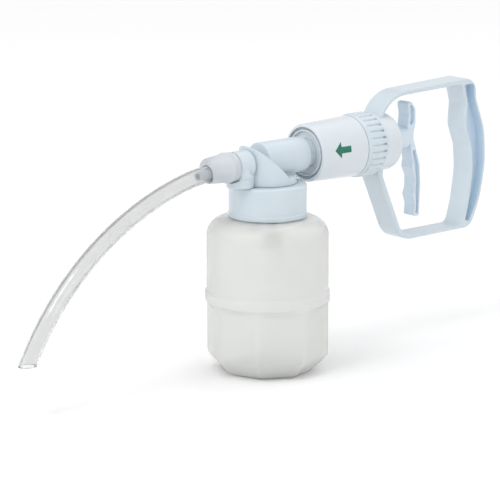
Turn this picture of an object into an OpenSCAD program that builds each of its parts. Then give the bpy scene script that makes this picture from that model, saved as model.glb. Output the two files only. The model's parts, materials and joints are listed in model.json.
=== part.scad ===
// Hand-held manual suction pump: collection bottle, cap, vacuum head, sprung piston pump and D handle.
// Origin: centre of the bottle's base, on the surface it stands on. +Z up, +X from bottle to palm bar.

/* [Bottle] */
// Outer radius of the round upper half
bottle_r = 38; // [36:0.5:39]
// Corner radius of the eight-sided lower half
octagon_r = 38.8; // [37:0.1:39]
// Turn of the eight flats about the bottle's axis
octagon_turn = 17; // [0:1:44]
// Wall thickness of the bottle
bottle_wall = 1.5; // [1.2:0.1:2]
// Height of the bottle's shoulder edge
shoulder_z = 86; // [80:0.5:88]
// Middle height of the raised bead round the bottle
bead_z = 47.5; // [40:0.5:60]

/* [Cap and head] */
// Outer radius of the screw cap
cap_r = 24.4; // [24:0.1:26]
// Height of the cap's lower edge
cap_z = 98.2; // [98:0.1:99]
// Height of the cap
cap_h = 20.5; // [20:0.1:22]
// Radius of the vacuum head's upright part
head_r = 18; // [17:0.1:19]
// Radius of the head's horizontal leg
leg_r = 11; // [10.5:0.1:11.5]

/* [Pump] */
// Height of the pump's axis above the bottle's base
axis_z = 133.5; // [133:0.5:134]
// Outer radius of the pump barrel
barrel_r = 19.4; // [19:0.1:20]
// Outer radius of the barrel at its front rim
rim_r = 18.2; // [17.8:0.1:19]
// Bore radius of the pump barrel
bore_r = 15.5; // [15:0.1:15.8]
// Where the barrel's front rim is along X
barrel_x = 30.5; // [30:0.5:31]
// Where the knurled ring starts along X
ring_x = 68; // [67.5:0.5:69]
// Width of the knurled ring
ring_w = 15.5; // [15:0.5:16]
// Number of ribs round the knurled ring
ring_ribs = 28; // [20:1:32]
// Radius of the piston rod
rod_r = 4.5; // [4:0.1:5]
// Working stroke of the piston, towards the palm bar
stroke = 30; // [20:1:30]

/* [Handle] */
// Depth of the D handle's strip along Y
strip_w = 16.5; // [14:0.5:18]
// Depth of the recess in each side of the palm bar
pocket_depth = 7; // [2:0.5:7.5]
// Depth of the finger grip along Y
grip_w = 10; // [9:0.5:12]
// Depth of the recesses in each side of the finger grip
grip_pocket = 3; // [1:0.5:4]

/* [Catheter] */
// Outer radius of the clear catheter tube
tube_r = 5.2; // [5:0.1:5.4]
// Inner radius of the clear catheter tube
tube_bore_r = 3.9; // [3.7:0.1:4]

/* [Hidden] */
$fn = 96;
cut = 0.1;                            // how far a cutter passes a face
cap_top = cap_z + cap_h;
pale_blue = [0.80, 0.86, 0.92];
mid_blue = [0.70, 0.79, 0.87];
ice_white = [0.86, 0.88, 0.91];
natural = [0.90, 0.91, 0.90, 0.6];
clear = [0.85, 0.88, 0.90, 0.4];

// Bottle heights and radii
base_chamfer = 11;
flats_top = 44;
neck_r = 20.4;
neck_bore_r = 18.4;
neck_top = cap_top - 5.4;
shoulder_curve = 11;

// Head and ports
bevel_x = -7.5;                         // where the head's 45 degree bevel meets the pump's axis
leg_end = 27;
neck_end = 41;
head_neck_r = 8.8;
spigot_r = 15.2;
spigot_z = neck_top - 1.6;
duct_r = 4;
float_x = 4.5;
inlet_x = -23.4;
inlet_y = -1;
inlet_r = 8.5;
collar_r = 9.4;
inlet_z = axis_z - 1;
inlet_mitre_x = inlet_x - 3;          // where the port's 45 degree bevel meets its axis
duct_foot = [-11.5, -1, spigot_z];
duct_head = [-21.5, -1, inlet_z];

// Pump stations along X
ring_end = ring_x + ring_w;
barrel_end = ring_x + 8.5;            // the ring joins the barrel's end to the handle's skirt
skirt_x = barrel_end + 0.8;
skirt_r = 17.2;
bead_x = skirt_x + 2.7;               // snap bead that the ring turns on
hub_x = ring_end + 0.8;
front_wall = 6.5;
hub_end = hub_x + 15.9;
hub_r = 18.5;
piston_x = neck_end + 5;
piston_l = 8;
grip_x = 115;
spring_start = piston_x + piston_l + 1.4;
spring_wire_r = 0.65;
spring_r = 9.5;
spring_turns = 7;
spring_end = spring_start + stroke + spring_turns * 2 * spring_wire_r + 0.9;

// Catheter
connector_mouth = -29.6;
nozzle_drop = 6;                      // how far the nozzle leans down, in degrees
nozzle_l = 28.5;
tube_start = 16.6;                    // distances along the nozzle from the connector's mouth
bend_start = 22.5;
tube_bends = [[103, 7.6], [197, 19.7], [180, 29.2]];  // radius and angle of each bend, from the pump outwards
bend_step = 3.2;                      // largest angle between two rings of the tube
tip_z = 33.5;

// Turn a shape drawn along Z so that it runs along +X on the pump's axis, starting at x
module along_pump(x) translate([x, 0, axis_z]) rotate([0, 90, 0]) children();
// The same on the inlet's axis
module along_inlet(x) translate([x, inlet_y, inlet_z]) rotate([0, 90, 0]) children();
// The same on the nozzle's axis, starting at z from the connector's mouth
module along_nozzle(z) translate([connector_mouth, inlet_y, inlet_z]) rotate([0, 90 - nozzle_drop, 0])
    translate([0, 0, z]) children();

module tube(outer, inner, h) difference() {
    cylinder(r = outer, h = h);
    translate([0, 0, -cut]) cylinder(r = inner, h = h + 2 * cut);
}

module torus(r, wire) rotate_extrude() translate([r, 0]) circle(r = wire, $fn = 32);

function unit(v) = v / norm(v);
// Points of the arc that rounds corner b of the path a, b, c; b[2] is its radius
function rounded_corner(a, b, c) =
    let (p = [b[0], b[1]],
         to_a = unit([a[0], a[1]] - p),
         to_c = unit([c[0], c[1]] - p),
         half = acos(to_a * to_c) / 2,
         centre = p + unit(to_a + to_c) * b[2] / sin(half),
         from = p + to_a * b[2] / tan(half) - centre,
         upto = p + to_c * b[2] / tan(half) - centre,
         a0 = atan2(from[1], from[0]),
         raw = atan2(upto[1], upto[0]) - a0,
         turn = raw > 180 ? raw - 360 : raw < -180 ? raw + 360 : raw,
         steps = max(1, ceil(abs(turn) / 15)))
    b[2] == 0 ? [p] : [for (i = [0:steps]) centre + b[2] * [cos(a0 + turn * i / steps), sin(a0 + turn * i / steps)]];
function rounded_path(path) =
    let (n = len(path))
    [for (i = [0:n - 1]) each rounded_corner(path[(i + n - 1) % n], path[i], path[(i + 1) % n])];

// Extrude a shape drawn in X and Z to a width along Y, centred on y = 0
module side_plate(width) translate([0, width / 2, 0]) rotate([90, 0, 0]) linear_extrude(width) children();

// Slanted passage from the inlet's axis down through the head into the bottle's neck
module inlet_duct() {
    run = duct_head - duct_foot;
    lean = atan2(run[0], run[2]);
    translate(duct_foot - 3 * unit(run)) rotate([0, lean, 0]) cylinder(r = duct_r, h = norm(run) + 3, $fn = 48);
}

module bottle_outside() {
    rotate([0, 0, octagon_turn + 22.5]) {
        cylinder(r1 = octagon_r - base_chamfer, r2 = octagon_r, h = base_chamfer, $fn = 8);
        translate([0, 0, base_chamfer]) cylinder(r = octagon_r, h = flats_top - base_chamfer, $fn = 8);
    }
    rotate_extrude() polygon([
        [0, flats_top - 3], [bottle_r, flats_top - 3], [bottle_r + 1, bead_z - 3], [bottle_r + 1, bead_z + 3],
        [bottle_r, bead_z + 8], [bottle_r, shoulder_z],
        for (a = [10:10:70]) [bottle_r - shoulder_curve * (1 - cos(a)), shoulder_z + shoulder_curve * sin(a)],
        [neck_r, cap_z - 0.4], [neck_r, neck_top], [0, neck_top]]);
    for (z = [cap_z + 4.5, cap_z + 8.5]) translate([0, 0, z]) torus(neck_r - 0.2, 0.7);
}

module bottle_inside() {
    w = bottle_wall;
    rotate([0, 0, octagon_turn + 22.5]) {
        translate([0, 0, w])
            cylinder(r1 = octagon_r - base_chamfer - w, r2 = octagon_r - w - 0.4, h = base_chamfer, $fn = 8);
        translate([0, 0, w + base_chamfer - 0.01])
            cylinder(r = octagon_r - w - 0.4, h = flats_top - base_chamfer - 4, $fn = 8);
    }
    rotate_extrude() polygon([
        [0, flats_top - 5], [bottle_r - w - 3.4, flats_top - 5], [bottle_r - w, flats_top + 1],
        [bottle_r - w, shoulder_z],
        for (a = [10:10:70])
            [bottle_r - w - (shoulder_curve - w) * (1 - cos(a)), shoulder_z + (shoulder_curve - w) * sin(a)],
        [neck_bore_r, cap_z - 2.4], [neck_bore_r, neck_top + cut], [0, neck_top + cut]]);
}

module bottle() color(natural) difference() {
    bottle_outside();
    bottle_inside();
}

module screw_cap() color(pale_blue) difference() {
    rotate_extrude() polygon([
        [0, cap_z], [cap_r, cap_z], [cap_r, cap_top - 2],
        for (a = [0:22.5:90]) [cap_r - 2 + 2 * cos(a), cap_top - 2 + 2 * sin(a)], [0, cap_top]]);
    translate([0, 0, cap_z - cut]) cylinder(r = neck_r + 0.8, h = cap_h - 3 + cut);
    translate([0, 0, cap_top - 4]) cylinder(r = spigot_r, h = 5);
}

module cap_seal() color("white") translate([0, 0, neck_top]) tube(neck_r - 0.2, spigot_r + 0.2, 1.4);

module vacuum_head() color(pale_blue) difference() {
    union() {
        translate([0, 0, spigot_z]) cylinder(r = spigot_r, h = cap_top - spigot_z + 1);
        difference() {
            translate([0, 0, cap_top]) cylinder(r = head_r, h = axis_z + leg_r - cap_top);
            // 45 degree bevel that falls towards the pump
            translate([bevel_x, 0, axis_z]) rotate([0, 45, 0]) translate([-60, -30, 0]) cube([120, 60, 60]);
        }
        translate([0, 0, cap_top]) cylinder(r = head_r, h = axis_z - leg_r - cap_top + 0.6);
        along_pump(bevel_x) cylinder(r = leg_r, h = leg_end - bevel_x);
        along_pump(leg_end - 1) cylinder(r = head_neck_r, h = neck_end - leg_end + 1);
    }
    translate([float_x, 0, spigot_z - cut]) cylinder(r = 6, h = axis_z - spigot_z);
    along_pump(float_x) cylinder(r = 5, h = 60);
    along_pump(leg_end + 5.2) tube(head_neck_r + 1, head_neck_r - 1.2, 1.8);
    inlet_duct();
}

module inlet_elbow() color(pale_blue) difference() {
    union() {
        translate([inlet_x, inlet_y, cap_top + 0.3]) cylinder(r = inlet_r, h = inlet_z - cap_top - 6);
        intersection() {
            translate([inlet_x, inlet_y, inlet_z - 7]) cylinder(r = collar_r, h = 20);
            translate([inlet_mitre_x, 0, inlet_z]) rotate([0, 45, 0]) translate([-60, -30, -60]) cube([120, 60, 60]);
        }
        difference() {
            along_inlet(inlet_x - 6) cylinder(r = collar_r - 0.4, h = 11.2);
            translate([inlet_mitre_x - 5, 0, inlet_z]) rotate([0, 45, 0]) translate([-60, -30, -60]) cube([120, 60, 60]);
        }
        // foot that joins the port to the cap's deck
        translate([inlet_x, inlet_y - 6, cap_top + 0.3]) cube([12, 12, 8]);
    }
    translate([0, 0, cap_top - 10]) cylinder(r = head_r, h = 60);
    along_nozzle(-20) cylinder(r = 10, h = 20.3);
    along_nozzle(0) cylinder(r = 4.15, h = 8);
    inlet_duct();
}

module inlet_nozzle() color(pale_blue) along_nozzle(0) difference() {
    rotate_extrude() polygon([
        [0, -nozzle_l], [2.9, -nozzle_l], [3.4, -tube_start - 0.5], [3.4, -tube_start + 0.4],
        [5, -tube_start + 2.1], [7.4, 0], [7.4, 0.2], [4.1, 0.2], [4.1, 4.6], [0, 4.6]]);
    translate([0, 0, -nozzle_l - cut]) cylinder(r = 1.9, h = 50);
}

module inlet_drop_tube() color(natural)
    translate([duct_foot[0], duct_foot[1], spigot_z - 22]) tube(3.2, 2.2, 22);

module catheter_connector() color(clear) difference() {
    translate([connector_mouth, inlet_y, inlet_z]) rotate([0, 88.5, 0]) rotate_extrude() polygon([
        [0, -20.4], [7.8, -20.4], [9.2, -5.5], [9.2, 3], [0, 3]]);
    along_nozzle(0) cylinder(r = 12, h = 8);
    along_nozzle(-22) cylinder(r = tube_r, h = 22 - tube_start + 0.3);
    along_nozzle(-tube_start + 0.2) cylinder(r1 = 5.05, r2 = 7.55, h = tube_start + 0.1);
}

// The tube is preformed: bends that meet tangentially, all in one upright plane.
// A heading of 0 runs along -X, and 90 runs straight down.
function bend_heading(i) = i == 0 ? nozzle_drop : bend_heading(i - 1) + tube_bends[i - 1][1];
function away(heading) = [-sin(heading), 0, cos(heading)];
function along(heading) = [-cos(heading), 0, -sin(heading)];
function nozzle_point(d) = [connector_mouth, inlet_y, inlet_z] + d * along(nozzle_drop);
function bend_centre(i) = i == 0
    ? nozzle_point(bend_start) - tube_bends[0][0] * away(nozzle_drop)
    : bend_centre(i - 1) + (tube_bends[i - 1][0] - tube_bends[i][0]) * away(bend_heading(i));
// Every ring of the tube as [middle, heading]
function tube_rings() = concat([[nozzle_point(tube_start), nozzle_drop]],
    [for (i = [0:len(tube_bends) - 1])
        let (bend = tube_bends[i], n = ceil(bend[1] / bend_step))
        for (k = [i == 0 ? 0 : 1:n])
            let (heading = bend_heading(i) + bend[1] * k / n)
            [bend_centre(i) + bend[0] * away(heading), heading]]);
function ring_points(ring, r, sides, level) = [for (k = [0:sides - 1])
    let (b = 360 * k / sides, p = ring[0] + r * (cos(b) * away(ring[1]) + [0, sin(b), 0]), t = along(ring[1]))
    (level ? p + t * (tip_z - p[2]) / t[2] : p)];
module catheter_tube() color(clear) {
    rings = tube_rings();
    n = len(rings);
    sides = 16;
    // outer ring, then inner ring, at each station; the last pair is cut level at the tip
    points = [for (j = [0:n - 1], r = [tube_r, tube_bore_r]) each ring_points(rings[j], r, sides, j == n - 1)];
    at = function(j, wall, k) (2 * j + wall) * sides + k % sides;
    faces = concat(
        [for (j = [0:n - 2], k = [0:sides - 1]) [at(j, 0, k), at(j, 0, k + 1), at(j + 1, 0, k + 1), at(j + 1, 0, k)]],
        [for (j = [0:n - 2], k = [0:sides - 1]) [at(j, 1, k), at(j + 1, 1, k), at(j + 1, 1, k + 1), at(j, 1, k + 1)]],
        [for (k = [0:sides - 1]) [at(0, 0, k), at(0, 1, k), at(0, 1, k + 1), at(0, 0, k + 1)]],
        [for (k = [0:sides - 1])
            [at(n - 1, 0, k), at(n - 1, 0, k + 1), at(n - 1, 1, k + 1), at(n - 1, 1, k)]]);
    polyhedron(points, faces);
}

module float_stem() color(pale_blue) translate([float_x, 0, 0]) {
    translate([0, 0, 80]) cylinder(r = 2.6, h = spigot_z + 9 - 80);
    translate([0, 0, spigot_z + 3]) difference() {
        cylinder(r = 6, h = 4);
        for (a = [0:90:270]) rotate([0, 0, a + 45]) translate([4.2, 0, -cut]) cylinder(r = 1.2, h = 5, $fn = 24);
    }
}

module float() color("white") translate([float_x, 0, 78.5]) tube(6.6, 2.9, 7);

module float_stop_clip() color(mid_blue) translate([float_x, 0, 76.2]) difference() {
    cylinder(r = 5.4, h = 6);
    translate([0, 0, 2]) cylinder(r = 8, h = 5);
}

module float_seat() color("white") translate([float_x, 0, spigot_z - 2]) tube(7.4, 4.2, 2);

module head_o_ring() color("dimgray") along_pump(leg_end + 6.1) torus(head_neck_r - 0.61, 0.58);

module barrel() color(ice_white) along_pump(barrel_x) difference() {
    rotate_extrude() polygon([
        [0, 0], for (a = [0:22.5:90]) [rim_r - 1.6 + 1.6 * sin(a), 1.6 - 1.6 * cos(a)],
        [barrel_r, ring_x - barrel_x - 0.3], [skirt_r, ring_x - barrel_x - 0.3],
        [skirt_r, barrel_end - barrel_x], [0, barrel_end - barrel_x]]);
    translate([0, 0, front_wall]) cylinder(r = bore_r, h = 60);
    translate([0, 0, -cut]) cylinder(r = head_neck_r, h = front_wall + 1);
    translate([0, 0, -cut]) tube(16.3, 14.6, 3.1);
    translate([0, 0, -cut]) tube(13.7, head_neck_r - 1, 2.6);
}

module inlet_valve_disc() color("dimgray") along_pump(neck_end) {
    cylinder(r = 7.6, h = 0.9);
    translate([0, 0, 0.8]) cylinder(r = 1.4, h = 0.9);
}

module piston() color("white") along_pump(piston_x) difference() {
    cylinder(r = bore_r - 0.35, h = piston_l);
    translate([0, 0, 2.8]) tube(bore_r + 1, bore_r - 2.5, 2.4);
    translate([0, 0, -cut]) cylinder(r = 2.5, h = piston_l + 1);
    for (a = [0:60:300]) rotate([0, 0, a]) translate([8.6, 0, -cut]) cylinder(r = 1.3, h = piston_l + 1, $fn = 24);
}

module piston_o_ring() color("dimgray") along_pump(piston_x + 4) torus(bore_r - 1.25, 1.2);

module exhaust_valve_disc() color("dimgray") along_pump(piston_x + piston_l) tube(10.6, rod_r + 0.1, 0.8);

module piston_nut() color("silver") along_pump(piston_x - 2.2) difference() {
    cylinder(r = 4.2, h = 2.2, $fn = 6);
    translate([0, 0, -cut]) cylinder(r = 2.5, h = 3);
}

module piston_rod() color(ice_white) along_pump(piston_x - 2.4) {
    cylinder(r = 2.5, h = piston_l + 2.4);
    translate([0, 0, piston_l + 2.4]) difference() {
        cylinder(r = rod_r, h = grip_x + 1 - piston_x - piston_l);
        translate([0, 0, grip_x - piston_x - piston_l - 8]) cylinder(r = 1.5, h = 12, $fn = 32);
    }
}

module spring_seat() color("silver") along_pump(piston_x + piston_l + 0.8) tube(11.5, rod_r + 0.1, 0.6);

// One coil of round wire about +Z, starting and ending at z0 and z1
function coil_point(t, k, z0, z1, steps) =
    let (a = 360 * spring_turns * t / steps, b = 60 * k, r = spring_r + spring_wire_r * cos(b))
    [r * cos(a), r * sin(a), z0 + (z1 - z0) * t / steps + spring_wire_r * sin(b)];
module return_spring() color("silver") along_pump(spring_start) {
    steps = 18 * spring_turns;
    z0 = spring_wire_r;
    z1 = spring_end - spring_start - spring_wire_r;
    points = [for (t = [0:steps], k = [0:5]) coil_point(t, k, z0, z1, steps)];
    sides = [for (t = [0:steps - 1], k = [0:5])
        [6 * t + k, 6 * t + 6 + k, 6 * t + 6 + (k + 1) % 6, 6 * t + (k + 1) % 6]];
    polyhedron(points, concat(sides, [[for (k = [0:5]) k], [for (k = [5:-1:0]) 6 * steps + k]]));
}

module barrel_gasket() color("dimgray") along_pump(barrel_end) tube(skirt_r - 0.1, bore_r + 0.1, 0.8);

module lock_ring() color(pale_blue) along_pump(ring_x) difference() {
    union() {
        cylinder(r = barrel_r + 0.1, h = ring_w);
        for (i = [0:ring_ribs - 1]) rotate([0, 0, 360 * i / ring_ribs])
            translate([barrel_r - 0.7, 0, 3.2]) cylinder(r = 1.8, h = ring_w - 3.7, $fn = 16);
    }
    translate([0, 0, -cut]) cylinder(r = skirt_r + 0.05, h = ring_w + 1);
    translate([0, 0, bead_x - ring_x - 0.1]) cylinder(r = skirt_r + 0.65, h = 1.4);
}

module d_outline() polygon(rounded_path([
    [85.5, 133.5, 0], [85.5, 147.5, 0], [97, 164.8, 26], [173.8, 167.9, 10], [174.4, 153.5, 12], [182.3, 133, 40],
    [184, 110, 70], [178.5, 85, 60], [170.5, 68.9, 9], [106.4, 68, 16], [86.6, 113, 10], [85.5, 122, 0]]));

module d_opening() polygon(rounded_path([
    [91, 133.5, 0], [91, 151, 0], [98.8, 162.1, 22], [161.4, 164.1, 3], [165, 151, 12], [163.8, 136, 12],
    [169.2, 122, 14], [170.4, 106, 40], [167.2, 86, 40], [162.7, 70.9, 5], [109.3, 70.7, 13], [91, 112.4, 0]]));

module palm_pocket() polygon(rounded_path([
    [163.4, 163.2, 1], [166.6, 151, 12], [165.5, 136, 12], [170.8, 122, 14], [172, 106, 40], [169, 87, 40],
    [165.6, 74, 1], [169, 72.6, 1], [177, 86, 60], [182.4, 110, 70], [180.8, 132.5, 40], [172.8, 153.5, 12],
    [172.3, 164, 3]]));

module d_handle() color(pale_blue) difference() {
    union() {
        side_plate(strip_w) difference() {
            d_outline();
            d_opening();
        }
        along_pump(hub_x) rotate_extrude() polygon([
            [0, 0], [hub_r, 0], for (a = [0:22.5:90]) [hub_r - 4 + 4 * cos(a), hub_end - hub_x - 4 + 4 * sin(a)],
            [0, hub_end - hub_x]]);
        along_pump(skirt_x) cylinder(r = skirt_r, h = hub_x - skirt_x + 1);
        along_pump(bead_x) cylinder(r = skirt_r + 0.6, h = 1.2);
    }
    for (side = [-1, 1]) translate([0, side * strip_w / 2, 0]) side_plate(2 * pocket_depth) palm_pocket();
    along_pump(skirt_x - 1) cylinder(r = bore_r, h = hub_x - skirt_x + 1);
    along_pump(skirt_x) cylinder(r = spring_r + 2.5, h = spring_end - skirt_x);
    along_pump(skirt_x) cylinder(r = 7.5, h = 40);
}

module rod_bush() color("white") along_pump(spring_end) tube(7.5, rod_r + 0.06, hub_end - spring_end);

module grip_outline() polygon(rounded_path([
    [115, 156.2, 1.5], [116.4, 148.5, 8], [115.4, 140, 8], [118.2, 128, 10], [120.1, 119, 4], [119.1, 114, 3],
    [122.1, 107.5, 5], [121.9, 100, 3], [120.3, 96, 3], [122.5, 89, 5], [121.6, 81.8, 1.5], [126.6, 81.6, 1.5],
    [127.6, 103, 30], [126.8, 115.5, 12], [120.5, 134, 8], [122.6, 143, 8], [122.4, 152, 4], [118.8, 156.9, 1.5]]));

// Recesses in each side of the grip, above and below its boss
module upper_pocket() polygon(rounded_path([
    [117.2, 154.4, 1], [118, 148.5, 6], [117.4, 142, 1], [120.4, 142, 1], [121.4, 146, 6], [121.2, 151.6, 3],
    [118.6, 155.2, 0.8]]));
module lower_pocket() polygon(rounded_path([
    [120.2, 125.5, 0.8], [121.6, 118, 8], [123.3, 107.5, 20], [123.3, 97, 30], [123.8, 89, 8], [123.3, 83.4, 0.8],
    [125.4, 83.3, 0.8], [126.3, 103, 30], [125.5, 115, 12], [122.4, 125, 0.8]]));

module finger_grip() color(mid_blue) difference() {
    union() {
        side_plate(grip_w) grip_outline();
        along_pump(grip_x - 10) cylinder(r = 7, h = 12);
        along_pump(grip_x) cylinder(r = 4.8, h = 6.2);
    }
    for (side = [-1, 1]) translate([0, side * grip_w / 2, 0]) {
        side_plate(2 * grip_pocket) upper_pocket();
        side_plate(2 * grip_pocket) lower_pocket();
    }
    along_pump(grip_x - 11) cylinder(r = rod_r, h = 12);
    along_pump(grip_x) cylinder(r = 1.6, h = 12, $fn = 32);
    along_pump(grip_x + 4.2) cylinder(r = 3.4, h = 12);
}

module grip_screw() color("silver") along_pump(grip_x + 4.2) {
    difference() {
        cylinder(r = 3.1, h = 1.6);
        for (a = [0, 90]) rotate([0, 0, a]) translate([-2, -0.4, 0.7]) cube([4, 0.8, 2]);
    }
    translate([0, 0, -11]) cylinder(r = 1.5, h = 11.1, $fn = 32);
}

bottle();
screw_cap();
cap_seal();
vacuum_head();
inlet_elbow();
inlet_nozzle();
inlet_drop_tube();
catheter_connector();
catheter_tube();
float_stem();
float();
float_stop_clip();
float_seat();
head_o_ring();
barrel();
inlet_valve_disc();
piston();
piston_o_ring();
exhaust_valve_disc();
piston_nut();
piston_rod();
spring_seat();
return_spring();
barrel_gasket();
lock_ring();
d_handle();
rod_bush();
finger_grip();
grip_screw();
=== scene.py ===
import json
import math

import bmesh
import bpy
from mathutils import Matrix, Vector
from mathutils.geometry import tessellate_polygon


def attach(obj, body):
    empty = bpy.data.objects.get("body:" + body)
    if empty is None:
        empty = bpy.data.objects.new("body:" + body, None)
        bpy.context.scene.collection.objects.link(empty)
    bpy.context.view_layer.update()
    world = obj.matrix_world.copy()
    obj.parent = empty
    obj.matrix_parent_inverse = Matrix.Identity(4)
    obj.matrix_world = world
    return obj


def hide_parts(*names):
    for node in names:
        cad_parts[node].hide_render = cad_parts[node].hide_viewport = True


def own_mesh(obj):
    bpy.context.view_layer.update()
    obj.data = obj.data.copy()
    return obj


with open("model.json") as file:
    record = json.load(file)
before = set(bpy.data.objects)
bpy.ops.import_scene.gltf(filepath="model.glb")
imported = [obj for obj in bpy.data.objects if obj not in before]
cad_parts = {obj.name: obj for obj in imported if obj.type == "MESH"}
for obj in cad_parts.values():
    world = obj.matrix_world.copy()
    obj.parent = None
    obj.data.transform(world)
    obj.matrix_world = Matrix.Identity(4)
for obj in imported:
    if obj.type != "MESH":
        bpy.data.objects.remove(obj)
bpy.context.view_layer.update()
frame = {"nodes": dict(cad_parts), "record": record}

MM = 0.001
AS_DRAWN = Matrix.Identity(4)

# Sizes shared by several pieces (mm)
CAP_TOP = 118.7
HEAD_R = 18.0                                   # the head's upright body
AXIS_Z = 133.5                                  # the pump's axis
NECK_R = 8.8                                    # the head's neck, on which the barrel fits
BARREL_X, BARREL_L = 30.5, 37.2                 # the barrel's front rim, and its length to the knurled ring
RIM_R, BARREL_R = 18.2, 19.4                    # the barrel's radius at each end of that length
SKIRT_R, BORE_R = 17.2, 15.5                    # the skirts of barrel and handle, inside the knurled ring
MOUTH = Vector((-29.6, -1.0, 132.5))            # where the connector meets the inlet port
NOZZLE_DROP = 6.0                               # how far the nozzle leans down, in degrees

# The camera stands at the photograph's angle and looks at AIM (metres)
AZIMUTH, ELEVATION, DISTANCE, LENS = -41.3, 12.0, 1.88, 218.3
AIM = Vector((-0.0082, 0.0072, 0.0811))


# ---------------------------------------------------------------- materials
def linear(rgb):
    """Colour as it looks on screen, 0 to 1, turned into the scene's linear values."""
    return tuple(c / 12.92 if c <= 0.04045 else ((c + 0.055) / 1.055) ** 2.4 for c in rgb) + (1.0,)


def material(name, light, dark, roughness, grain=60.0, bump=0.05, **extra):
    """Principled material: colour drifts between two tones, with fine moulded grain as bump."""
    mat = bpy.data.materials.new(name)
    mat.use_nodes = True
    nodes, links = mat.node_tree.nodes, mat.node_tree.links
    bsdf = nodes["Principled BSDF"]
    place = nodes.new("ShaderNodeTexCoord")
    drift = nodes.new("ShaderNodeTexNoise")
    drift.inputs["Scale"].default_value = grain
    drift.inputs["Detail"].default_value = 4
    tones = nodes.new("ShaderNodeValToRGB")
    tones.color_ramp.elements[0].position = 0.3
    tones.color_ramp.elements[0].color = linear(dark)
    tones.color_ramp.elements[1].position = 0.7
    tones.color_ramp.elements[1].color = linear(light)
    fine = nodes.new("ShaderNodeTexNoise")
    fine.inputs["Scale"].default_value = grain * 25
    fine.inputs["Detail"].default_value = 3
    rough = nodes.new("ShaderNodeBump")
    rough.inputs["Strength"].default_value = bump
    rough.inputs["Distance"].default_value = 0.0004
    links.new(place.outputs["Object"], drift.inputs["Vector"])
    links.new(place.outputs["Object"], fine.inputs["Vector"])
    links.new(drift.outputs[0], tones.inputs[0])
    links.new(tones.outputs["Color"], bsdf.inputs["Base Color"])
    links.new(fine.outputs[0], rough.inputs["Height"])
    links.new(rough.outputs["Normal"], bsdf.inputs["Normal"])
    bsdf.inputs["Roughness"].default_value = roughness
    for socket, value in extra.items():
        bsdf.inputs[socket.replace("_", " ")].default_value = value
    mat.diffuse_color = linear(light)
    return mat


PALE_BLUE = material("pale_blue_plastic", (0.80, 0.843, 0.872), (0.785, 0.832, 0.864), 0.27)
# the palm bar's pocket: the pale blue plastic in a bluer tone, painted shade of the recess
RECESS_SHADE_BLUE = material("pale_blue_recess_painted_shade", (0.80, 0.87, 0.925), (0.785, 0.86, 0.918), 0.4)
# the inlet nozzle: the pale blue plastic made lighter, painted light where the clear tube holds back the
# lamps
NOZZLE_LIT_BLUE = material("nozzle_plastic_painted_light", (0.905, 0.94, 0.985), (0.89, 0.93, 0.98), 0.3)
GRIP_BLUE = material("grip_blue_plastic", (0.82, 0.872, 0.915), (0.805, 0.86, 0.905), 0.3)
# the finger grip's side pockets: the grip's plastic in a bluer tone, painted shade of the recesses
GRIP_RECESS_SHADE = material("grip_recess_painted_shade", (0.86, 0.91, 0.95), (0.845, 0.90, 0.94), 0.4)
ICE = material("ice_plastic", (0.835, 0.862, 0.882), (0.823, 0.852, 0.875), 0.24)
NATURAL = material("natural_plastic", (0.985, 0.988, 0.982), (0.975, 0.979, 0.974), 0.24, grain=45,
                   bump=0.06, Transmission_Weight=0.6, IOR=1.25)
CLEAR = material("clear_pvc", (0.948, 0.95, 0.95), (0.938, 0.941, 0.941), 0.06, grain=80, bump=0.01,
                 Transmission_Weight=0.9, IOR=1.42)
CUFF = material("clear_cuff", (0.945, 0.963, 0.978), (0.932, 0.952, 0.97), 0.18, grain=80, bump=0.03,
                Transmission_Weight=0.5, IOR=1.3)
WHITE = material("white_plastic", (0.90, 0.90, 0.89), (0.87, 0.87, 0.86), 0.4)
SILICONE = material("silicone", (0.42, 0.43, 0.45), (0.36, 0.37, 0.39), 0.5)
STEEL = material("steel", (0.74, 0.75, 0.76), (0.66, 0.67, 0.68), 0.28, grain=120, bump=0.1, Metallic=1.0)
INK = material("green_ink", (0.10, 0.47, 0.38), (0.06, 0.40, 0.32), 0.5, grain=400, bump=0.2)
SLOTS = {"pale_blue_plastic": PALE_BLUE, "ice_plastic": ICE, "natural_plastic": NATURAL, "clear_pvc": CLEAR,
         "white_plastic": WHITE, "silicone": SILICONE, "steel": STEEL}


# ---------------------------------------------------------------- mesh tools (all lengths in mm)
def along_x(x, y=0.0, z=AXIS_Z):
    """Turns a shape drawn along Z so that it runs along +X from that point."""
    return Matrix.Translation((x, y, z)) @ Matrix.Rotation(math.radians(90), 4, "Y")


def to_port(drop=NOZZLE_DROP):
    """Turns a shape drawn along Z so that it runs into the inlet port at MOUTH, like the leaning nozzle."""
    return Matrix.Translation(MOUTH) @ Matrix.Rotation(math.radians(90 - drop), 4, "Y")


def finish_mesh(name, bm, place, mats, body, stands_for, sharp=35):
    """Object in metres from a bmesh in mm. It rides its body, in place of the CAD nodes it stands for."""
    bmesh.ops.remove_doubles(bm, verts=bm.verts, dist=1e-4)
    bmesh.ops.dissolve_degenerate(bm, edges=bm.edges, dist=1e-5)
    bmesh.ops.recalc_face_normals(bm, faces=bm.faces)
    bm.transform(Matrix.Scale(MM, 4) @ place)
    mesh = bpy.data.meshes.new(name)
    bm.to_mesh(mesh)
    bm.free()
    for face in mesh.polygons:
        face.use_smooth = True
    mesh.set_sharp_from_angle(angle=math.radians(sharp))
    obj = bpy.data.objects.new(name, mesh)
    bpy.context.scene.collection.objects.link(obj)
    for mat in mats if isinstance(mats, (list, tuple)) else [mats]:
        mesh.materials.append(mat)
    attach(obj, body)
    if stands_for:
        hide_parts(*stands_for)
    return obj


def weighted(obj):
    """Shades the large flat faces evenly, with the bend of light kept to the rounded edges."""
    mod = obj.modifiers.new("normals", "WEIGHTED_NORMAL")
    mod.keep_sharp = True
    mod.weight = 80


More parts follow.
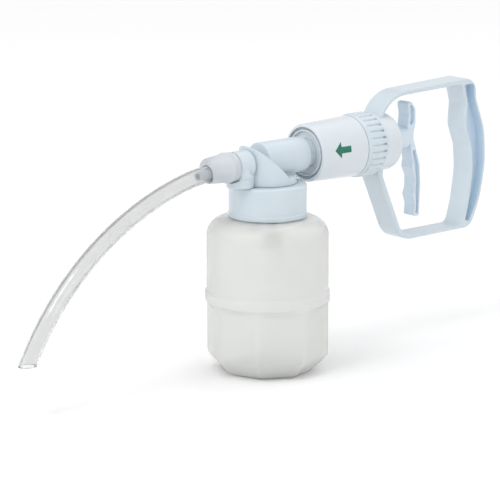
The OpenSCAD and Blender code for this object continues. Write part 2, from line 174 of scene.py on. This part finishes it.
def rounded(path, step=9.0):
    """Points of a closed path of (u, v) or (u, v, radius) corners, each corner rounded to its radius."""
    out = []
    for i, corner in enumerate(path):
        b = Vector(corner[:2])
        if len(corner) < 3 or corner[2] == 0:
            out.append(b)
            continue
        to_a = (Vector(path[i - 1][:2]) - b).normalized()
        to_c = (Vector(path[(i + 1) % len(path)][:2]) - b).normalized()
        half = math.acos(max(-1, min(1, to_a.dot(to_c)))) / 2
        r = corner[2]
        centre = b + (to_a + to_c).normalized() * r / math.sin(half)
        start = b + to_a * r / math.tan(half) - centre
        end = b + to_c * r / math.tan(half) - centre
        a0 = math.atan2(start.y, start.x)
        turn = math.remainder(math.atan2(end.y, end.x) - a0, 2 * math.pi)
        steps = max(1, math.ceil(abs(math.degrees(turn)) / step))
        out += [centre + r * Vector((math.cos(a0 + turn * k / steps), math.sin(a0 + turn * k / steps)))
                for k in range(steps + 1)]
    return out


def rings_to_mesh(bm, rings, closed=False):
    """Joins rings of equal length with quads."""
    last = len(rings) if closed else len(rings) - 1
    for i in range(last):
        a, b = rings[i], rings[(i + 1) % len(rings)]
        for k in range(len(a)):
            j = (k + 1) % len(a)
            bm.faces.new((a[k], a[j], b[j], b[k]))


def lathe(name, profile, place, mats, body, stands_for=(), segments=96, sharp=35):
    """Turns a closed profile of (radius, height[, corner radius]) about the local Z axis."""
    bm = bmesh.new()
    rings = []
    for r, h in rounded(profile):
        rings.append([bm.verts.new((r * math.cos(2 * math.pi * k / segments),
                                    r * math.sin(2 * math.pi * k / segments), h)) for k in range(segments)])
    rings_to_mesh(bm, rings, closed=True)
    finish_mesh(name, bm, place, mats, body, stands_for, sharp)


def inset(loop, d):
    """The loop moved by d to its left, which is into the material."""
    out = []
    n = len(loop)
    for i, p in enumerate(loop):
        e0 = (p - loop[i - 1]).normalized()
        e1 = (loop[(i + 1) % n] - p).normalized()
        n0, n1 = Vector((-e0.y, e0.x)), Vector((-e1.y, e1.x))
        m = (n0 + n1).normalized()
        out.append(p + m * d / max(0.3, m.dot(n0)))
    return out


def turning(loop, ccw):
    """The loop, reversed if it doesn't already run the way that is asked for."""
    area = sum(loop[i - 1].x * p.y - p.x * loop[i - 1].y for i, p in enumerate(loop))
    return loop if (area > 0) == ccw else loop[::-1]


def plate(name, outer, hole, pockets, width, fillet, depth, mats, body, stands_for):
    """Strip of the given width along Y between an outer outline and an opening, both in X and Z, with rounded
    edges and recesses in each side. The recesses' walls and floors take the second material, painted shade."""
    loops = [turning(outer, True)] + ([turning(hole, False)] if hole else [])
    bm = bmesh.new()
    arc = [math.radians(a) for a in (0, 18, 36, 54, 72, 90)]
    half, lip = width / 2, 0.3
    layers = [(fillet * (1 - math.sin(a)), half - fillet * (1 - math.cos(a))) for a in arc]
    layers += [(d, -y) for d, y in layers[::-1]]

    def ring(loop, d, y):
        return [bm.verts.new((p.x, y, p.y)) for p in inset(loop, d)]

    walls = []
    for loop in loops:
        rings = [ring(loop, d, y) for d, y in layers]
        rings_to_mesh(bm, rings)
        walls.append(rings)
    for side, end in ((1, 0), (-1, -1)):
        edge = [rings[end] for rings in walls]
        for pocket in pockets:
            rim = turning(pocket, False)
            rings = [ring(rim, lip * (1 - math.sin(a)), side * (half - lip * (1 - math.cos(a)))) for a in arc]
            rings += [ring(rim, -lip * (1 - math.cos(a)), side * (half - depth + lip * (1 - math.sin(a))))
                      for a in arc]
            before = len(bm.faces)
            rings_to_mesh(bm, rings)
            for tri in tessellate_polygon([[v.co for v in rings[-1]]]):
                bm.faces.new([rings[-1][i] for i in tri])
            bm.faces.ensure_lookup_table()
            # the pocket's walls and floor take the second material, painted shade of the recess
            for face in list(bm.faces)[before + (len(arc) - 1) * len(rim):]:
                face.material_index = 1
            edge.append(rings[0])
        flat = [v for r in edge for v in r]
        for tri in tessellate_polygon([[v.co for v in r] for r in edge]):
            bm.faces.new([flat[i] for i in tri])
    weighted(finish_mesh(name, bm, AS_DRAWN, mats, body, stands_for, sharp=50))


# ---------------------------------------------------------------- bottle
def blend(x, x0, x1):
    """Smooth step, 0 up to x0 and 1 from x1 on."""
    t = max(0.0, min(1.0, (x - x0) / (x1 - x0)))
    return t * t * (3 - 2 * t)


def bottle():
    """Round above its bead, eight soft-cornered flats with a chamfered foot below it, and a threaded neck."""
    r, wall, corner, turn = 38.0, 1.5, 38.8, math.radians(17)
    flat, sharpness = corner * math.cos(math.pi / 8), 46
    chamfer_z, chamfer_slope, foot_inset = 10.8, 0.94, 10.9
    edge_sink, edge_span = 0.315, 1.8
    shoulder_z, shoulder_curve = 86.0, 11.0
    neck_r, neck_bore = 20.4, 18.4
    thread_z, pitch, thread_depth = 101.0, 4.0, 0.75
    segments = 192
    angles = [2 * math.pi * k / segments for k in range(segments)]
    bm = bmesh.new()
    rings = []

    def octagon(phi, apothem):
        total = sum(max(0.0, math.cos(phi - turn - k * math.pi / 4)) ** sharpness for k in range(8))
        return apothem / total ** (1 / sharpness)

    def outside(z, phi):
        """Radius of the outer wall, with its edge above the chamfer sunk in a little."""
        sunk = edge_sink * math.exp(-((z - chamfer_z) / edge_span) ** 2)
        chamfer = chamfer_slope * max(0.0, chamfer_z - z)
        low = octagon(phi, flat - chamfer - sunk) if z < 45 else r
        bead = blend(z, 43.4, 45.4) * (1 - blend(z, 50.2, 52.6))
        share = blend(z, 41.0, 46.0)
        return low * (1 - share) + r * share + bead

    def thread(z, phi):
        """Radius gained from a single-start thread between two heights."""
        across = abs(math.remainder(z - thread_z - pitch * phi / (2 * math.pi), pitch))
        ends = blend(z, 100.4, 102) * (1 - blend(z, 109.6, 111))
        return thread_depth * blend(1.2 - across, 0.2, 0.9) * ends

    def ring(z, radius_at):
        circle = [(radius_at(a), a) for a in angles]
        rings.append([bm.verts.new((radius * math.cos(a), radius * math.sin(a), z)) for radius, a in circle])

    def round_ring(z, radius):
        ring(z, lambda a: radius)

    def base_ring(z, share, apothem):
        ring(z, lambda a: max(0.02, share) * octagon(a, apothem))

    def shoulder(edge, curve, degrees):
        for step in degrees:
            t = math.radians(step)
            round_ring(shoulder_z + curve * math.sin(t), edge - curve * (1 - math.cos(t)))

    # underside, slightly hollow
    for share, z in ((0.0, 0.9), (0.45, 0.9), (0.8, 0.9), (0.93, 0.25)):
        base_ring(z, share, flat - foot_inset)
    # outer wall, with its rings closest together at the chamfer's edge and the bead
    heights = [0.0, 0.5] + [1 + 0.75 * i for i in range(12)] + [9.6 + 0.4 * i for i in range(9)]
    heights += [14 + 3 * i for i in range(9)] + [40 + 0.7 * i for i in range(20)]
    heights += [54 + 4 * i for i in range(8)]
    for z in heights:
        soft = 0.9 * math.exp(-z / 0.35)
        ring(z, lambda a: outside(z, a) - soft)
    shoulder(r, shoulder_curve, range(0, 71, 7))
    # last of the shoulder, then the neck with its thread and its lip
    for z, edge in ((97.25, 24.6), (97.8, 22.6), (97.95, 20.8), (98.4, neck_r)):
        round_ring(z, edge)
    for i in range(33):
        z = 99.2 + i * 0.4
        ring(z, lambda a: neck_r + thread(z, a))
    for z, edge in ((112.9, neck_r), (113.2, 20.1), (113.3, 19.8), (113.3, 18.8), (113.1, 18.5)):
        round_ring(z, edge)
    # down the inside
    for z, edge in ((112.6, neck_bore), (97.5, neck_bore), (96.6, 19.4), (96.2, 22)):
        round_ring(z, edge)
    shoulder(r - wall, shoulder_curve - wall, range(66, -1, -11))
    for z in (80, 66, 54, 51, 48, 45, 42, 40, 34, 22, 14, 12.3, 11, 8, 5, 2.6, 1.7):
        ring(z, lambda a: outside(z, a) - wall)
    for share in (0.8, 0.45, 0.0):
        base_ring(1.6, share, flat - foot_inset - 0.1)
    rings_to_mesh(bm, rings)
    bm.faces.new(rings[0][::-1])
    bm.faces.new(rings[-1])
    finish_mesh("bottle_shell", bm, AS_DRAWN, NATURAL, "bottle", ["bottle"], sharp=60)


def screw_cap():
    """Cap with a slightly wider lip at its lower edge, and a hole for the head's spigot."""
    lip_r, r, thread_r, hole_r = 24.6, 24.2, 21.4, 15.4
    low, deck = 98.2, CAP_TOP - 4
    lathe("cap_shell", [
        (lip_r, low, 0.5), (lip_r, 100.8, 0.3), (r, 101.2, 0.3), (r + 0.1, CAP_TOP, 1.8),
        (hole_r, CAP_TOP, 0.2), (hole_r, deck, 0.2), (thread_r, deck, 0.3), (thread_r, low, 0.3)],
        AS_DRAWN, PALE_BLUE, "pump", ["screw_cap"], segments=128)


# ---------------------------------------------------------------- head and inlet port
def rod_shape(r, start, end, place=AS_DRAWN, cut=None, keep_below=True):
    """Round bar as a bmesh; cut is an optional 45 degree plane x + z = cut, and one side of it is kept."""
    sides = 96
    bm = bmesh.new()
    rings = [[bm.verts.new((r * math.cos(2 * math.pi * k / sides), r * math.sin(2 * math.pi * k / sides), h))
              for k in range(sides)] for h in (start, end)]
    rings_to_mesh(bm, rings)
    bm.faces.new(rings[0])
    bm.faces.new(rings[1])
    bm.transform(place)
    if cut is not None:
        sign = 1 if keep_below else -1
        made = bmesh.ops.bisect_plane(bm, geom=bm.verts[:] + bm.edges[:] + bm.faces[:], plane_co=(cut, 0, 0),
                                      plane_no=(sign, 0, sign), clear_outer=True)
        edges = [e for e in made["geom_cut"] if isinstance(e, bmesh.types.BMEdge)]
        bmesh.ops.contextual_create(bm, geom=edges)
    bmesh.ops.recalc_face_normals(bm, faces=bm.faces)
    return bm


def carve(name, solids, cutters, voxel, mat, body, stands_for):
    """One moulded piece with softened edges: overlapping solids, less cutters that run past them."""
    def temporary(bm):
        mesh = bpy.data.meshes.new("temporary")
        bm.to_mesh(mesh)
        bm.free()
        obj = bpy.data.objects.new("temporary", mesh)
        bpy.context.scene.collection.objects.link(obj)
        return obj

    base = temporary(solids[0])
    others = []
    for kind, shapes in (("UNION", solids[1:]), ("DIFFERENCE", cutters)):
        for bm in shapes:
            other = temporary(bm)
            others.append(other)
            mod = base.modifiers.new(kind, "BOOLEAN")
            mod.operation, mod.object, mod.solver = kind, other, "EXACT"
    remesh = base.modifiers.new("even", "REMESH")
    remesh.mode, remesh.voxel_size, remesh.use_smooth_shade = "VOXEL", voxel, True
    soften = base.modifiers.new("soften", "SMOOTH")
    soften.factor, soften.iterations = 0.5, 4
    fewer = base.modifiers.new("fewer", "DECIMATE")
    fewer.ratio = 0.3
    bpy.context.view_layer.update()
    done = bpy.data.meshes.new_from_object(base.evaluated_get(bpy.context.evaluated_depsgraph_get()))
    bm = bmesh.new()
    bm.from_mesh(done)
    for obj in [base] + others:
        mesh = obj.data
        bpy.data.objects.remove(obj)
        bpy.data.meshes.remove(mesh)
    bpy.data.meshes.remove(done)
    finish_mesh(name, bm, AS_DRAWN, mat, body, stands_for, sharp=60)


def head():
    """Upright body under a 45 degree bevel, with a horizontal leg and a neck that carry the pump."""
    bevel_x, leg_r, leg_end, neck_end = -7.5, 11.0, 27.0, 41.0
    body_top, collar_top, spigot_r, spigot_end = 146, 123.1, 15.2, 111.7
    riser_x, riser_r, passage_r = 4.5, 6.0, 5.0
    riser = Matrix.Translation((riser_x, 0, 0))
    voxel = 0.5
    carve("head_shell", [
        rod_shape(HEAD_R, CAP_TOP, body_top, cut=bevel_x + AXIS_Z),
        rod_shape(HEAD_R, CAP_TOP, collar_top),
        rod_shape(spigot_r, spigot_end, 120),
        rod_shape(leg_r, bevel_x, leg_end, along_x(0)),
        rod_shape(NECK_R, leg_end - 1, neck_end, along_x(0))],
        [rod_shape(riser_r, 110, AXIS_Z, riser), rod_shape(passage_r, riser_x, 60, along_x(0))],
        voxel, PALE_BLUE, "pump", ["vacuum_head"])


def inlet_port():
    """Upright post and a level stub that meet in a bevelled bend, with a foot that reaches the head."""
    x, post_r, collar_r, stub_r, bore_r = -23.4, 8.5, 9.4, 9.0, 4.15
    post_z, collar_z, collar_top = 119, 125.5, 145.5
    foot_w, foot_h, foot_z = 12, 8, 123
    voxel = 0.35
    upright = Matrix.Translation((x, MOUTH.y, 0))
    level = along_x(0, MOUTH.y, MOUTH.z)
    foot = bmesh.new()
    bmesh.ops.create_cube(foot, size=1)
    foot.transform(Matrix.Diagonal((foot_w, foot_w, foot_h, 1)))
    foot.transform(Matrix.Translation((x + foot_w / 2, MOUTH.y, foot_z)))
    carve("port_shell", [
        rod_shape(post_r, post_z, collar_z + 1, upright),
        rod_shape(collar_r, collar_z, collar_top, upright, cut=x - 3 + MOUTH.z),
        rod_shape(stub_r, x - 6, x + 5.2, level, cut=x - 8 + MOUTH.z, keep_below=False),
        foot],
        [rod_shape(HEAD_R + 0.05, 108, 170),
         rod_shape(10, -20, 0.3, to_port()),
         rod_shape(bore_r, 0, 8, to_port())],
        voxel, PALE_BLUE, "pump", ["inlet_elbow"])


# ---------------------------------------------------------------- pump
def barrel():
    """Widens from its front rim to the knurled ring, with two round grooves in its front face."""
    end, wall, fit = 46.0, 6.5, NECK_R + 0.02
    groove_out, groove_in, land_r = 16.3, 14.6, 13.7
    groove, land, recess = 3.1, 0.3, 2.4
    lathe("barrel_shell", [
        (RIM_R, 0, 1.5), (BARREL_R, BARREL_L, 0.3), (SKIRT_R, BARREL_L), (SKIRT_R, end, 0.3),
        (BORE_R, end, 0.2), (BORE_R, wall), (fit, wall), (fit, recess, 0.2), (land_r, recess, 0.3),
        (land_r, land, 0.25), (groove_in, land, 0.25), (groove_in, groove, 0.3),
        (groove_out, groove, 0.3), (groove_out, 0, 0.2)],
        along_x(BARREL_X), ICE, "pump", ["barrel"], segments=128)


def lock_ring():
    """Smooth band in front, rounded ribs behind it, with the grooves between them open at the rear edge."""
    ribs, inner_r, band_r, rib_h, notch_depth = 28, 17.25, 19.45, 0.95, 1.8
    segments = ribs * 14
    length, gap = 15.5, 0.3
    # the first and the last station are the inner edges of the two end faces
    stations = [0.0, 0.0, 0.35, 0.6, 2.5, 2.75, 3.0, 3.3, 3.7, 4.3, 5.2, 7, 9, 11, 12.6, 13.4, 13.9, 14.4,
                14.9, 15.3, length, length]
    bm = bmesh.new()
    rings = []
    for i, x in enumerate(stations):
        ring = []
        for k in range(segments):
            phi = 2 * math.pi * k / segments
            wave = abs(math.cos(ribs * phi / 2))
            rib = math.sqrt(blend(wave, 0.0, 0.85))
            rise = blend(x, 2.4, 3.6) * (1 - 0.4 * blend(x, 14.6, length))
            notch = (1 - blend(wave, 0.15, 0.7)) * blend(x, 12.6, 13.8)
            r = band_r + rib_h * rib * rise - notch_depth * notch
            if i in (0, len(stations) - 1):
                r = inner_r
            ring.append(bm.verts.new((r * math.cos(phi), r * math.sin(phi), x)))
        rings.append(ring)
    rings_to_mesh(bm, rings, closed=True)
    finish_mesh("ring_shell", bm, along_x(BARREL_X + BARREL_L + gap), PALE_BLUE, "lock_ring",
                ["lock_ring"], sharp=50)


def green_mark():
    """Plain printed arrow that shows which way the pump draws, wrapped on the tapered barrel."""
    middle_x, raised, wrap_r, ink, gap = 46.5, 2.5, 18.7, 0.05, 0.03
    tip, neck, tail, head_w, shaft_w = -6.6, -1.2, 6.6, 5.2, 2
    outline = [(tip, 0), (neck, head_w), (neck, shaft_w), (tail, shaft_w), (tail, -shaft_w), (neck, -shaft_w),
               (neck, -head_w)]
    bm = bmesh.new()
    bm.faces.new([bm.verts.new((x, v, 0)) for x, v in outline])
    bmesh.ops.triangulate(bm, faces=bm.faces)
    bmesh.ops.subdivide_edges(bm, edges=bm.edges, cuts=4, use_grid_fill=True)
    bmesh.ops.solidify(bm, geom=bm.faces, thickness=ink)
    for v in bm.verts:
        x, arc, lift = v.co
        t = (arc + raised) / wrap_r
        r = RIM_R + (BARREL_R - RIM_R) * (middle_x - BARREL_X + x) / BARREL_L + gap + lift
        v.co = Vector((middle_x + x, -r * math.cos(t), AXIS_Z + r * math.sin(t)))
    finish_mesh("flow_mark", bm, AS_DRAWN, INK, "pump", [])


def spring():
    """Return spring: it is squeezed against the bottom of the handle's bore as the plunger is drawn back."""
    start, length, r, wire, turns = 55.4, 40.0, 9.5, 0.65, 7
    per_turn, sides = 40, 10
    bm = bmesh.new()
    rings = []
    for i in range(per_turn * turns + 1):
        a = 2 * math.pi * i / per_turn
        z = wire + (length - 2 * wire) * i / (per_turn * turns)
        ring = []
        for k in range(sides):
            b = 2 * math.pi * k / sides
            across = r + wire * math.cos(b)
            ring.append(bm.verts.new((across * math.cos(a), across * math.sin(a), z + wire * math.sin(b))))
        rings.append(ring)
    rings_to_mesh(bm, rings)
    bm.faces.new(rings[0])
    bm.faces.new(rings[-1])
    coil = finish_mesh("spring_coil", bm, along_x(start), STEEL, "pump", ["return_spring"], sharp=50)
    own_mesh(coil)


# ---------------------------------------------------------------- handle
def d_handle():
    """Loop of strip with a recessed palm bar, and the round hub and skirt that join it to the barrel."""
    outer = rounded([
        (85.5, 133.5), (85.5, 147.5), (97, 164.8, 26), (173.8, 167.9, 10), (174.4, 153.5, 12),
        (182.3, 133, 40), (184, 110, 70), (178.5, 85, 60), (170.5, 68.9, 9), (106.4, 68, 16), (86.6, 113, 10),
        (85.5, 122)], 6)
    hole = rounded([
        (91, 133.5), (91, 151), (98.8, 162.1, 22), (161.4, 164.1, 3), (165, 151, 12), (163.8, 136, 12),
        (169.2, 122, 14), (170.4, 106, 40), (167.2, 86, 40), (162.7, 70.9, 5), (109.3, 70.7, 13),
        (91, 112.4)], 6)
    pocket = rounded([
        (163.4, 163.2, 1), (166.6, 151, 12), (165.5, 136, 12), (170.8, 122, 14), (172, 106, 40),
        (169, 87, 40), (165.6, 74, 1), (169, 72.6, 1), (177, 86, 60), (182.4, 110, 70), (180.8, 132.5, 40),
        (172.8, 153.5, 12), (172.3, 164, 3)], 6)
    width, fillet, depth = 16.5, 0.8, 7.0
    # the second material is the painted shade of the palm bar's pocket
    plate("handle_loop", outer, hole, [pocket], width, fillet, depth, [PALE_BLUE, RECESS_SHADE_BLUE], "pump",
          ["d_handle"])
    skirt_x, skirt_l, bead_r = 77.3, 7.0, 17.75
    hub_r, hub_end, bush_r, cavity_r, cavity_end = 18.5, 22.9, 7.5, 12, 18.2
    lathe("handle_hub", [
        (SKIRT_R, 0), (SKIRT_R, 2.7), (bead_r, 2.9, 0.2), (bead_r, 3.7, 0.2), (SKIRT_R, 4.0),
        (SKIRT_R, skirt_l), (hub_r, skirt_l, 0.4), (hub_r, hub_end, 4.2), (bush_r, hub_end, 0.4),
        (bush_r, cavity_end), (cavity_r, cavity_end), (cavity_r, skirt_l), (BORE_R, skirt_l), (BORE_R, 0)],
        along_x(skirt_x), ICE, "pump")


def finger_grip():
    """Scalloped bar with recessed sides, and the stepped boss in its middle that holds the rod."""
    outline = rounded([
        (115, 156.2, 1.5), (116.4, 148.5, 8), (115.4, 140, 8), (118.2, 128, 10), (120.1, 119, 4),
        (119.1, 114, 3), (122.1, 107.5, 5), (121.9, 100, 3), (120.3, 96, 3), (122.5, 89, 5),
        (121.6, 81.8, 1.5), (126.6, 81.6, 1.5), (127.6, 103, 30), (126.8, 115.5, 12), (120.5, 134, 8),
        (122.6, 143, 8), (122.4, 152, 4), (118.8, 156.9, 1.5)], 6)
    upper = rounded([
        (117.2, 154.4, 1), (118, 148.5, 6), (117.4, 142, 1), (120.4, 142, 1), (121.4, 146, 6),
        (121.2, 151.6, 3), (118.6, 155.2, 0.8)], 6)
    lower = rounded([
        (120.2, 125.5, 0.8), (121.6, 118, 8), (123.3, 107.5, 20), (123.3, 97, 30), (123.8, 89, 8),
        (123.3, 83.4, 0.8), (125.4, 83.3, 0.8), (126.3, 103, 30), (125.5, 115, 12), (122.4, 125, 0.8)], 6)
    width, fillet, depth = 10.0, 0.6, 3.0
    # the second material is the painted shade of the grip's side pockets
    plate("grip_bar", outline, None, [upper, lower], width, fillet, depth, [GRIP_BLUE, GRIP_RECESS_SHADE],
          "plunger", ["finger_grip"])
    boss_x, r, front_end, back_r, end = 105, 7, 12, 4.8, 16.2
    rod_r, rod_end, screw_r, head_r, head_z = 4.5, 11, 1.6, 3.4, 14.2
    lathe("grip_boss", [
        (r, 0, 1.2), (r, front_end, 0.8), (back_r, front_end), (back_r, end, 0.5), (head_r, end, 0.3),
        (head_r, head_z), (screw_r, head_z), (screw_r, rod_end), (rod_r, rod_end), (rod_r, 0)],
        along_x(boss_x), GRIP_BLUE, "plunger", segments=48)


# ---------------------------------------------------------------- catheter
def catheter():
    """Clear tube in one upright plane, with three tangent bends, cut level at its tip."""
    tube_r, bore_r, tip_z = 5.2, 3.9, 33.5
    tube_start, straight_end, step = 16.6, 22.5, 1.2
    bends = [(103, 7.6), (197, 19.7), (180, 29.2)]

    def up(angle):
        return Vector((-math.sin(math.radians(angle)), math.cos(math.radians(angle))))

    def on_nozzle(d):
        drop = math.radians(NOZZLE_DROP)
        return Vector((MOUTH.x - d * math.cos(drop), MOUTH.z - d * math.sin(drop)))

    heading = NOZZLE_DROP
    centre = on_nozzle(straight_end)
    stations = [(on_nozzle(tube_start), heading), (centre, heading)]
    last_radius = 0
    for radius, angle in bends:
        centre = centre - (radius - last_radius) * up(heading)
        steps = max(4, math.ceil(angle / step))
        for k in range(1, steps + 1):
            reached = heading + angle * k / steps
            stations.append((centre + radius * up(reached), reached))
        heading += angle
        last_radius = radius
    sides = 40
    bm = bmesh.new()
    walls = []
    for r in (tube_r, bore_r):
        rings = []
        for j, (mid, heading) in enumerate(stations):
            t = math.radians(heading)
            ring = []
            for k in range(sides):
                b = 2 * math.pi * k / sides
                p = Vector((mid.x - r * math.cos(b) * math.sin(t), MOUTH.y + r * math.sin(b),
                            mid.y + r * math.cos(b) * math.cos(t)))
                if j == len(stations) - 1:
                    along = Vector((-math.cos(t), 0, -math.sin(t)))
                    p += along * (tip_z - p.z) / along.z
                ring.append(bm.verts.new(p))
            rings.append(ring)
        walls.append(rings)
    rings_to_mesh(bm, walls[0] + walls[1][::-1], closed=True)
    finish_mesh("catheter_shell", bm, AS_DRAWN, CLEAR, "catheter", ["catheter_tube"], sharp=50)


def connector():
    """Soft clear cuff: its outside is almost level, and its bore follows the leaning nozzle."""
    outer_drop = 1.5
    outer = [(-20.4, 7.2), (-20.3, 7.5), (-20.0, 7.75), (-19.4, 7.9), (-7.4, 8.9), (-6.9, 9.2), (-6.6, 9.5),
             (-5.0, 9.55), (-4.6, 9.3), (-4.2, 9.2), (-0.7, 9.2), (-0.25, 9.05), (0.0, 8.7)]
    inner = [(0.0, 7.7), (-0.3, 7.5), (-8, 6.3), (-16.3, 5.1), (-16.5, 5.22), (-19.8, 5.22), (-20.4, 5.5)]
    angles = [2 * math.pi * k / 64 for k in range(64)]
    bm = bmesh.new()
    rings = []
    for drop, profile in ((outer_drop, outer), (NOZZLE_DROP, inner)):
        for h, r in profile:
            # the mouth stays square to the nozzle, on which the cuff turns
            turn = to_port(NOZZLE_DROP + (drop - NOZZLE_DROP) * blend(-h, 0.8, 8))
            rings.append([bm.verts.new(turn @ Vector((r * math.cos(a), r * math.sin(a), h))) for a in angles])
    rings_to_mesh(bm, rings, closed=True)
    finish_mesh("connector_shell", bm, AS_DRAWN, CUFF, "catheter", ["catheter_connector"],
                sharp=50)


# ---------------------------------------------------------------- camera and stage
def from_camera(right, up, nearer):
    """Point to the right of AIM, above it and in front of it, as the camera sees it (metres)."""
    a = math.radians(AZIMUTH)
    return AIM + right * Vector((math.cos(a), math.sin(a), 0)) + Vector((0, 0, up)) \
        + nearer * Vector((math.sin(a), -math.cos(a), 0))


def make_camera():
    """Long lens, from the photograph's angle."""
    a, e = math.radians(AZIMUTH), math.radians(ELEVATION)
    away = Vector((math.sin(a) * math.cos(e), -math.cos(a) * math.cos(e), math.sin(e)))
    camera = bpy.data.objects.new("camera", bpy.data.cameras.new("camera"))
    camera.data.lens = LENS
    camera.data.sensor_width = 36.0
    camera.data.clip_end = 20.0
    camera.location = AIM + DISTANCE * away
    camera.rotation_euler = (-away).to_track_quat("-Z", "Y").to_euler()
    bpy.context.scene.collection.objects.link(camera)
    bpy.context.scene.camera = camera


def area_light(name, place, size, watts):
    """Square light that points at AIM."""
    data = bpy.data.lights.new(name, "AREA")
    data.energy = watts
    data.size = size
    light = bpy.data.objects.new(name, data)
    light.location = place
    light.rotation_euler = (AIM - place).to_track_quat("-Z", "Y").to_euler()
    bpy.context.scene.collection.objects.link(light)


def make_world():
    """Surroundings that brighten to one side, with a darker patch that draws the clear tube's edges."""
    world = bpy.data.worlds.new("world")
    world.use_nodes = True
    nodes, links = world.node_tree.nodes, world.node_tree.links
    place = nodes.new("ShaderNodeTexCoord")

    def shade(toward, cosines, tones):
        """Brightness that runs between two tones as the view turns between two cosines to a direction."""
        cosine = nodes.new("ShaderNodeVectorMath")
        cosine.operation = "DOT_PRODUCT"
        cosine.inputs[1].default_value = (toward - AIM).normalized()
        tone = nodes.new("ShaderNodeMapRange")
        for end, value in zip(("From Min", "From Max", "To Min", "To Max"), cosines + tones):
            tone.inputs[end].default_value = value
        links.new(place.outputs["Generated"], cosine.inputs[0])
        links.new(cosine.outputs["Value"], tone.inputs["Value"])
        return tone.outputs[0]

    sides = shade(from_camera(-0.5, 0.4, -0.75), (-0.9, 0.9), (0.66, 1.2))
    patch = shade(from_camera(-0.45, 0.5, -0.75), (0.72, 0.9), (1.0, 0.3))
    both = nodes.new("ShaderNodeMath")
    both.operation = "MULTIPLY"
    links.new(sides, both.inputs[0])
    links.new(patch, both.inputs[1])
    links.new(both.outputs[0], nodes["Background"].inputs["Color"])
    nodes["Background"].inputs["Strength"].default_value = 1.12
    bpy.context.scene.world = world


def make_stage():
    """White floor, the surroundings and three soft lights."""
    bpy.context.scene.view_settings.view_transform = "Standard"
    make_world()
    bm = bmesh.new()
    bmesh.ops.create_grid(bm, x_segments=1, y_segments=1, size=8)
    mesh = bpy.data.meshes.new("floor")
    bm.to_mesh(mesh)
    bm.free()
    floor = bpy.data.objects.new("floor", mesh)
    bpy.context.scene.collection.objects.link(floor)
    white = material("floor", (0.985, 0.985, 0.985), (0.98, 0.98, 0.98), 0.9, grain=2, bump=0.0)
    mesh.materials.append(white)
    area_light("key", from_camera(-0.6, 1.3, 0.9), size=0.5, watts=5)
    area_light("fill", from_camera(1.3, 0.5, 1.3), size=1.6, watts=1)
    area_light("top", from_camera(0.0, 1.8, -0.6), size=1.4, watts=2.5)


def paint_cad_nodes():
    """Gives each CAD node its slot's material, for the inner parts that are shown as they come; the inlet
    nozzle gets a lighter copy of its plastic, painted light.
    """
    slots = {part["node"]: part["material_slot"] for part in frame["record"]["subparts"]}
    for node, obj in frame["nodes"].items():
        obj.data.materials.clear()
        obj.data.materials.append(NOZZLE_LIT_BLUE if node == "inlet_nozzle" else SLOTS[slots[node]])


paint_cad_nodes()
bottle()
screw_cap()
head()
inlet_port()
barrel()
lock_ring()
green_mark()
spring()
d_handle()
finger_grip()
catheter()
connector()
make_camera()
make_stage()
